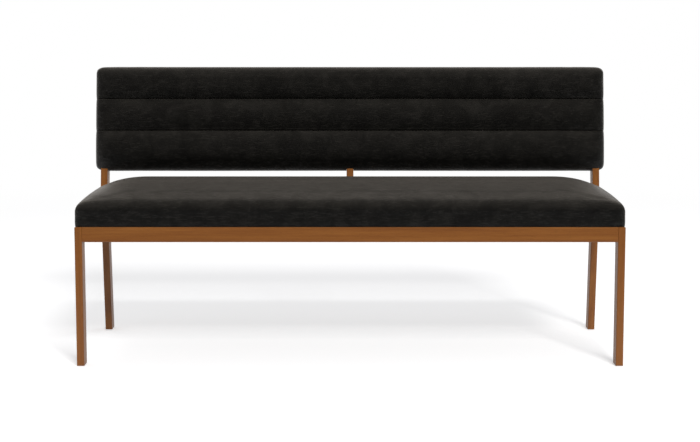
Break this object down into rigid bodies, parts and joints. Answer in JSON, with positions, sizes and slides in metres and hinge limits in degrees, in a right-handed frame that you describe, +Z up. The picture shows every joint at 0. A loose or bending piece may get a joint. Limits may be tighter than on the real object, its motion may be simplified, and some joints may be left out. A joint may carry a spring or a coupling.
{
  "type": "banquette bench",
  "caption": "Upholstered banquette bench: slim walnut-brown timber frame, crowned black leather seat and a raked padded back with sewn horizontal channels.",
  "frame": {"origin": "middle of the bench's footprint box on the floor: centre of the length and of the overall depth, at the height of the floor", "axes": "+X along the bench to the right of someone who faces its front, +Y from the front towards the back, +Z up"},
  "size_m": [1.558, 0.6172, 0.8135],
  "materials": {
    "walnut_timber": "satin lacquered hardwood",
    "inner_timber": "planed, uncoated",
    "plywood": "sanded plywood",
    "hardboard": "smooth pressed board",
    "black_leather": "matt, finely grained",
    "foam": "open-cell foam",
    "black_cloth": "thin nonwoven cloth",
    "steel": "zinc-plated",
    "black_plastic": "moulded, matt"
  },
  "bodies": {
    "root": {"front_leg_left": "walnut_timber", "front_leg_right": "walnut_timber", "rear_leg_left": "walnut_timber", "rear_leg_right": "walnut_timber", "centre_post": "walnut_timber", "front_rail": "walnut_timber", "rear_rail": "walnut_timber", "side_rail_left": "walnut_timber", "side_rail_right": "walnut_timber", "bearer_left": "inner_timber", "bearer_right": "inner_timber", "corner_block_front_left": "inner_timber", "corner_block_front_right": "inner_timber", "corner_block_rear_left": "inner_timber", "corner_block_rear_right": "inner_timber", "rail_dowels": "inner_timber", "bearer_dowels": "inner_timber", "back_dowels": "inner_timber", "corner_block_screws": "steel", "seat_screws": "steel", "glides": "black_plastic", "glide_nails": "steel", "seat_board": "plywood", "seat_foam": "foam", "seat_cover": "black_leather", "dust_cloth": "black_cloth", "back_top_rail": "inner_timber", "back_lower_rail_left": "inner_timber", "back_lower_rail_right": "inner_timber", "back_panel": "plywood", "back_panel_screws": "steel", "back_foam": "foam", "back_cover": "black_leather", "back_board": "hardboard", "back_rear_leather": "black_leather"}
  },
  "joints": []
}
